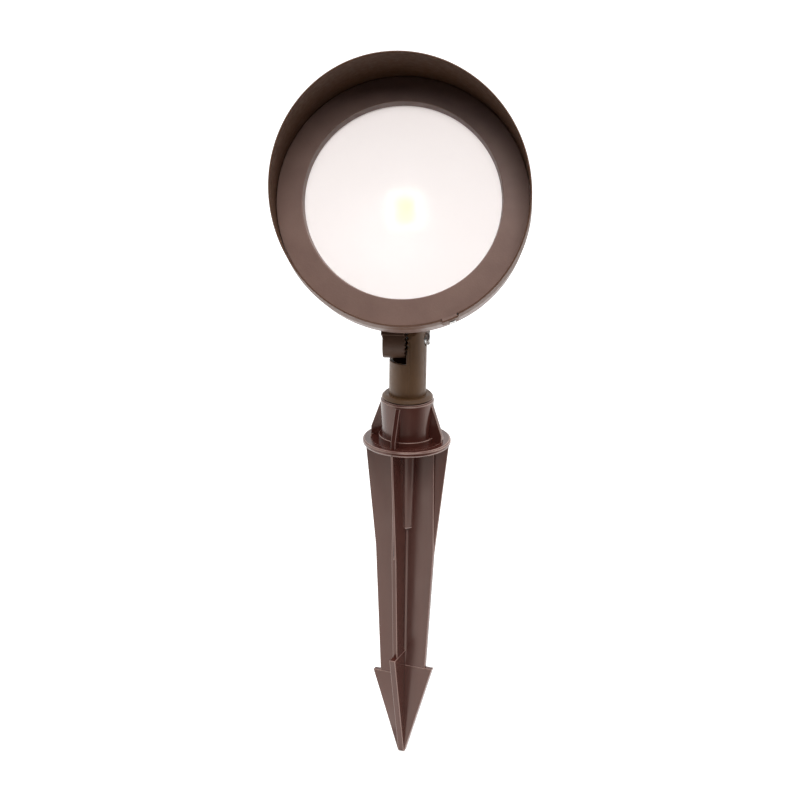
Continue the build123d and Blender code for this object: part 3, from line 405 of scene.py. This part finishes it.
# Emission on the bowl: a painted glow, not a lamp.
BOWL_PAINTED_GLOW, BOWL_PAINTED_GLOW_COLOUR = 0.90, (1.0, 0.928, 0.908, 1)
BOWL_CLOUDS, BOWL_PATCHES, HAMMER_MARKS, HAMMER_DEPTH = 120, 600, 420, 0.0002


def bowl_with_painted_glow():
    """Anodised aluminium: pale metal with a soft scatter from its hammered skin, and a painted glow for the
    LED's light.
    """
    material, tree = finish("anodised_painted_glow", {
        "Metallic": BOWL_METAL, "Emission Color": BOWL_PAINTED_GLOW_COLOUR, "Emission Strength": BOWL_PAINTED_GLOW,
    })
    tinted(tree, mottle(tree, BOWL_CLOUDS), BOWL_DARK, BOWL_LIGHT)
    varied(tree, mottle(tree, BOWL_PATCHES), "Roughness", *BOWL_ROUGHNESS)
    embossed(tree, [(mottle(tree, HAMMER_MARKS, detail=0.0), HAMMER_DEPTH)])
    return material


reflector = softened("reflector", "reflector_bowl", BOWL_EDGE)
placed(reflector, "head", "reflector_metal", bowl_with_painted_glow(), "reflector")

# LED engine: a ceramic board with its phosphor, in a white holder screwed to an aluminium plate.
# The phosphor is dimly lit, and the board and the holder have a painted glow in place of its light.
PLATE_EDGE, BOARD_EDGE, PHOSPHOR_EDGE, HOLDER_EDGE = 0.0003, 0.0001, 0.0002, 0.0003
PLATE_LIGHT = (0.80, 0.80, 0.79)
PLATE_DARK = (0.66, 0.66, 0.65)
PLATE_ROUGHNESS = (0.3, 0.45)
TOOL_BANDS, TOOL_PATCHES, TOOL_STRETCH = 300, 800, (8, 1, 1)
TOOL_LINES, TOOL_LINE_STRETCH, TOOL_LINE_DEPTH = 1500, (12, 1, 1), 0.00003
SKIN_GLOSS, SKIN_ROUGHNESS, NO_TINT = 0.4, (0.35, 0.5), (1, 1, 1, 1)
SKIN_CLOUDS, SKIN_PATCHES, SKIN_GRAIN, SKIN_GRAIN_DEPTH = 350, 600, 2200, 0.00002
CERAMIC_LIGHT = (0.95, 0.95, 0.92)
CERAMIC_DARK = (0.90, 0.90, 0.87)
HOLDER_LIGHT = (0.94, 0.94, 0.92)
HOLDER_DARK = (0.90, 0.90, 0.88)
# Emission of the board and the holder: a painted glow, not a lamp.
LED_PARTS_PAINTED_GLOW = 0.6
PHOSPHOR_LIGHT = (0.97, 0.88, 0.38)
PHOSPHOR_DARK = (0.93, 0.79, 0.24)
PHOSPHOR_COAT, PHOSPHOR_ROUGHNESS = 0.3, (0.25, 0.4)
PHOSPHOR_GLOW, PHOSPHOR_GLOW_COLOUR = 0.65, (1.0, 0.98, 0.74, 1)
PHOSPHOR_CLOUDS, PHOSPHOR_PATCHES, PHOSPHOR_GRAIN, PHOSPHOR_GRAIN_DEPTH = 1500, 900, 2600, 0.00003


def milled_metal():
    """Milled aluminium with fine straight tool lines."""
    material, tree = finish("milled_aluminium", {"Metallic": 1.0})
    tinted(tree, mottle(tree, TOOL_BANDS, TOOL_STRETCH), PLATE_DARK, PLATE_LIGHT)
    varied(tree, mottle(tree, TOOL_PATCHES, TOOL_STRETCH), "Roughness", *PLATE_ROUGHNESS)
    embossed(tree, [(mottle(tree, TOOL_LINES, TOOL_LINE_STRETCH), TOOL_LINE_DEPTH)])
    return material


def fine_skin(name, dark, light, glow=0.0):
    """Moulded or fired surface with a faint grain, and a painted glow for the LED's light where one is
    given.
    """
    material, tree = finish(name, {
        "Specular IOR Level": SKIN_GLOSS, "Emission Color": NO_TINT, "Emission Strength": glow,
    })
    tinted(tree, mottle(tree, SKIN_CLOUDS), dark, light)
    varied(tree, mottle(tree, SKIN_PATCHES), "Roughness", *SKIN_ROUGHNESS)
    embossed(tree, [(mottle(tree, SKIN_GRAIN), SKIN_GRAIN_DEPTH)])
    return material


def phosphor_gel():
    """Yellow silicone gel with the phosphor's grain in it, dimly lit."""
    material, tree = finish("phosphor_gel", {
        "Coat Weight": PHOSPHOR_COAT, "Emission Color": PHOSPHOR_GLOW_COLOUR,
        "Emission Strength": PHOSPHOR_GLOW,
    })
    tinted(tree, mottle(tree, PHOSPHOR_CLOUDS), PHOSPHOR_DARK, PHOSPHOR_LIGHT)
    varied(tree, mottle(tree, PHOSPHOR_PATCHES), "Roughness", *PHOSPHOR_ROUGHNESS)
    embossed(tree, [(mottle(tree, PHOSPHOR_GRAIN), PHOSPHOR_GRAIN_DEPTH)])
    return material


led_plate = softened("led_plate", "led_plate_disc", PLATE_EDGE)
placed(led_plate, "head", "plate_metal", milled_metal(), "led_plate")
led_board = softened("led_board", "led_board_ceramic", BOARD_EDGE)
# The board and the holder get a painted glow for the LED's light.
fired_ceramic = fine_skin("fired_ceramic", CERAMIC_DARK, CERAMIC_LIGHT, LED_PARTS_PAINTED_GLOW)
placed(led_board, "head", "led_ceramic", fired_ceramic, "led_board")
led_phosphor = softened("led_phosphor", "led_phosphor_gel", PHOSPHOR_EDGE)
placed(led_phosphor, "head", "led_phosphor", phosphor_gel(), "led_phosphor")
led_holder = softened("led_holder", "led_holder_moulding", HOLDER_EDGE)
holder_white = fine_skin("holder_white", HOLDER_DARK, HOLDER_LIGHT, LED_PARTS_PAINTED_GLOW)
placed(led_holder, "head", "holder_plastic", holder_white, "led_holder")

# Driver and its leads: a black potted case screwed to the housing's back wall inside, and two red wires.
# The wires run from sockets in the case, through the plate, to the holder's terminals.
DRIVER_EDGE, LEAD_EDGE = 0.0004, 0.0001
DRIVER_LIGHT = (0.07, 0.07, 0.075)
DRIVER_DARK = (0.05, 0.05, 0.055)
LEAD_LIGHT = (0.60, 0.05, 0.04)
LEAD_DARK = (0.45, 0.03, 0.02)
led_leads = softened("led_leads", "led_leads_wire", LEAD_EDGE)
placed(led_leads, "head", "lead_insulation", fine_skin("lead_red", LEAD_DARK, LEAD_LIGHT), "led_leads")
driver = softened("driver", "driver_case", DRIVER_EDGE)
placed(driver, "head", "driver_plastic", fine_skin("driver_black", DRIVER_DARK, DRIVER_LIGHT), "driver")

# Visor and its clamp shoe: a spun aluminium sleeve with its front cut on a slant, deepest near the top.
# It slips over the bezel, and a joggle in its band goes round the shoe that the screw clamps.
# Its paint is darker inside, a painted shade of the deep hood, and the bezel's bronze outside.
VISOR_TURN, PAD_TURN = radians(16.6), radians(7.1)
VISOR_IN, VISOR_WALL = 0.07585, 0.0010
VISOR_DEEP, VISOR_SHALLOW, VISOR_BAND = 0.0526, 0.0008, -0.0099
JOGGLE_OUT, JOGGLE_HALF, JOGGLE_RAMP = 0.0013, 0.0050, 0.0006
VISOR_COLUMNS, VISOR_RUN, LIP_STEPS = 720, 24, 7
# Inside colour of the visor: painted shade of the deep hood.
VISOR_INSIDE_SHADE = (0.086, 0.039, 0.019)
VISOR_OUTSIDE = (0.205, 0.120, 0.090)
VISOR_GLOSS, VISOR_ROUGHNESS, VISOR_SIDE_SHARE = 0.08, (0.42, 0.55), 0.8
SHOE_EDGE = 0.0002


def visor_grid():
    """The wall's section carried round the beam: up the inside, over a half-round lip, down the outside.
    The lip's height is the middle plus the slope times the height of the place, and the joggle moves the
    wall out by a smooth step on each side of the shoe."""
    angle = np.linspace(-pi / 2, 1.5 * pi, VISOR_COLUMNS, endpoint=False)[:, None]
    mid, half = (VISOR_DEEP + VISOR_SHALLOW) / 2, (VISOR_DEEP - VISOR_SHALLOW) / 2
    lip = VISOR_WALL / 2
    edge = mid + half * np.sin(angle) - lip
    run = np.linspace(0, 1, VISOR_RUN)[None, :]
    inside = VISOR_BAND + (edge - VISOR_BAND) * run
    sweep = np.linspace(pi, 0, LIP_STEPS + 2)[None, 1:-1]
    height = np.hstack([inside, edge + lip * np.sin(sweep), inside[:, ::-1]])
    inner = np.full((1, VISOR_RUN), VISOR_IN)
    radius = np.hstack([inner, VISOR_IN + lip + lip * np.cos(sweep), inner + VISOR_WALL])
    along = np.abs((angle + pi / 2 - PAD_TURN + pi) % (2 * pi) - pi) * VISOR_IN
    step = np.clip((JOGGLE_HALF + JOGGLE_RAMP - along) / JOGGLE_RAMP, 0, 1)
    radius = radius + JOGGLE_OUT * step * step * (3 - 2 * step)
    return np.stack([radius * np.cos(angle), radius * np.sin(angle), height], -1)


def visor_coat():
    """Powder paint that runs from a darker inside, painted shade of the hood, to the bezel's bronze
    outside.
    """
    material, tree = finish("visor_bronze_shaded_inside", {"Specular IOR Level": VISOR_GLOSS})
    side = tree.nodes.new("ShaderNodeAttribute")
    side.attribute_name = "outside"
    blend = tree.nodes.new("ShaderNodeMix")
    blend.inputs["Factor"].default_value = VISOR_SIDE_SHARE
    tree.links.new(mottle(tree, PAINT_CLOUDS, detail=PAINT_CLOUD_DETAIL), blend.inputs["A"])
    tree.links.new(side.outputs["Fac"], blend.inputs["B"])
    tinted(tree, blend.outputs["Result"], VISOR_INSIDE_SHADE, VISOR_OUTSIDE, 0.0, 1.0)
    varied(tree, mottle(tree, PAINT_PATCHES), "Roughness", *VISOR_ROUGHNESS)
    dimpled(tree)
    return material


visor = grid_piece("visor_sleeve", on_head(visor_grid(), VISOR_TURN))
visor_side = np.hstack([np.zeros(VISOR_RUN), np.linspace(0, 1, LIP_STEPS), np.ones(VISOR_RUN)])
outside = visor.data.attributes.new("outside", "FLOAT", "POINT")
outside.data.foreach_set("value", np.tile(visor_side, VISOR_COLUMNS))
placed(visor, "visor", "bronze_visor", visor_coat(), "visor")
visor_shoe = softened("visor_shoe", "visor_shoe_block", SHOE_EDGE)
placed(visor_shoe, "visor", "bronze_cast", cast_paint, "visor_shoe")

# Floor: a plain white sheet, with the stake's tip just above it.
# It ends a little way in front of the stake, and further back on the right, where the stake's gloss
# mirrors the dark front of the room instead.
FLOOR_LEVEL = -0.2155
FLOOR_HALF, FLOOR_FRONT, FLOOR_RIGHT = 6.0, -0.42, 0.0
FLOOR_CUT_FROM, FLOOR_CUT_TO = 0.1, 0.5
FLOOR_GREY, FLOOR_ROUGHNESS, FLOOR_GLOSS = (0.86, 0.86, 0.86, 1), 0.9, 0.1
FLOOR_LIFT, WHITE = 0.6, (1, 1, 1, 1)


def white_floor():
    """Pale matt sheet that keeps the shadow, lifted to white for the eye, in gloss and through glass."""
    material, tree = finish("floor_white", {
        "Base Color": FLOOR_GREY, "Roughness": FLOOR_ROUGHNESS, "Specular IOR Level": FLOOR_GLOSS,
        "Emission Color": WHITE,
    })
    eye = tree.nodes.new("ShaderNodeLightPath")
    lift = tree.nodes.new("ShaderNodeMath")
    lift.operation = "MULTIPLY"
    lift.inputs[1].default_value = FLOOR_LIFT
    seen = eye.outputs["Is Camera Ray"]
    for ray in ("Is Glossy Ray", "Is Transmission Ray"):
        either = tree.nodes.new("ShaderNodeMath")
        either.operation = "MAXIMUM"
        tree.links.new(seen, either.inputs[0])
        tree.links.new(eye.outputs[ray], either.inputs[1])
        seen = either.outputs["Value"]
    tree.links.new(seen, lift.inputs[0])
    tree.links.new(lift.outputs["Value"], tree.nodes["Principled BSDF"].inputs["Emission Strength"])
    return material


corners = [
    (-FLOOR_HALF, FLOOR_FRONT), (FLOOR_CUT_FROM, FLOOR_FRONT), (FLOOR_CUT_TO, FLOOR_RIGHT),
    (FLOOR_HALF, FLOOR_RIGHT), (FLOOR_HALF, FLOOR_HALF), (-FLOOR_HALF, FLOOR_HALF),
]
floor_mesh = bpy.data.meshes.new("floor")
floor_mesh.from_pydata([(x, y, FLOOR_LEVEL) for x, y in corners], [], [range(len(corners))])
floor = bpy.data.objects.new("floor", floor_mesh)
floor_mesh.materials.append(white_floor())
bpy.context.scene.collection.objects.link(floor)

# Room: white walls at the sides and the back, dark towards the camera, and plain white to the eye.
# It lights the object softly from the sides and the back, and glossy faces mirror its dark front.
ROOM_FRONT, ROOM_SIDES = 0.06, 1.0
ROOM_DARK_AT, ROOM_LIGHT_AT = -0.75, 0.15
world = bpy.data.worlds.new("white_room")
bpy.context.scene.world = world
world.use_nodes = True
room = world.node_tree
way = room.nodes.new("ShaderNodeTexCoord")
parts = room.nodes.new("ShaderNodeSeparateXYZ")
walls = room.nodes.new("ShaderNodeMapRange")
walls.interpolation_type = "SMOOTHSTEP"
walls.inputs["From Min"].default_value = ROOM_DARK_AT
walls.inputs["From Max"].default_value = ROOM_LIGHT_AT
walls.inputs["To Min"].default_value = ROOM_FRONT
walls.inputs["To Max"].default_value = ROOM_SIDES
paths = room.nodes.new("ShaderNodeLightPath")
level = room.nodes.new("ShaderNodeMath")
level.operation = "MAXIMUM"
room.links.new(way.outputs["Generated"], parts.inputs["Vector"])
room.links.new(parts.outputs["Y"], walls.inputs["Value"])
room.links.new(walls.outputs["Result"], level.inputs[0])
room.links.new(paths.outputs["Is Camera Ray"], level.inputs[1])
room.nodes["Background"].inputs["Color"].default_value = WHITE
room.links.new(level.outputs["Value"], room.nodes["Background"].inputs["Strength"])

# Lamp: one broad square soft box, high up and in front, a little to the right.
# It looks down at the post.
KEY_PLACE, KEY_AIM = Vector((0.2, -0.9, 1.7)), Vector((0, 0, 0.05))
KEY_SIZE, KEY_POWER = 1.5, 30
key_light = bpy.data.lights.new("key", "AREA")
key_light.size = KEY_SIZE
key_light.energy = KEY_POWER
key = bpy.data.objects.new("key", key_light)
key.location = KEY_PLACE
key.rotation_euler = (KEY_AIM - KEY_PLACE).to_track_quat("-Z", "Y").to_euler()
bpy.context.scene.collection.objects.link(key)

# Camera: a long lens a metre and a half away, a little above and to the right of the light.
# It is held slightly off level, as the photograph is.
CAMERA_AIM = Vector((-0.0046, 0.0, 0.028))
CAMERA_REACH = 1.5
CAMERA_SIDE, CAMERA_RISE, CAMERA_ROLL = radians(3.44), radians(20), radians(-0.8)
CAMERA_SENSOR, CAMERA_LENS = 36, 108.9
side, rise, roll = CAMERA_SIDE, CAMERA_RISE, CAMERA_ROLL
back = Vector((sin(side) * cos(rise), -cos(side) * cos(rise), sin(rise)))
across = Vector((cos(side), sin(side), 0))
upright = Vector((-sin(side) * sin(rise), cos(side) * sin(rise), cos(rise)))
right, up = cos(roll) * across - sin(roll) * upright, cos(roll) * upright + sin(roll) * across
turn = Matrix((right, up, back)).transposed().to_4x4()
optics = bpy.data.cameras.new("camera")
optics.sensor_width = CAMERA_SENSOR
optics.lens = CAMERA_LENS
camera = bpy.data.objects.new("camera", optics)
camera.matrix_world = Matrix.Translation(CAMERA_AIM + CAMERA_REACH * back) @ turn
bpy.context.scene.collection.objects.link(camera)
bpy.context.scene.camera = camera
bpy.context.scene.view_settings.view_transform = "Standard"
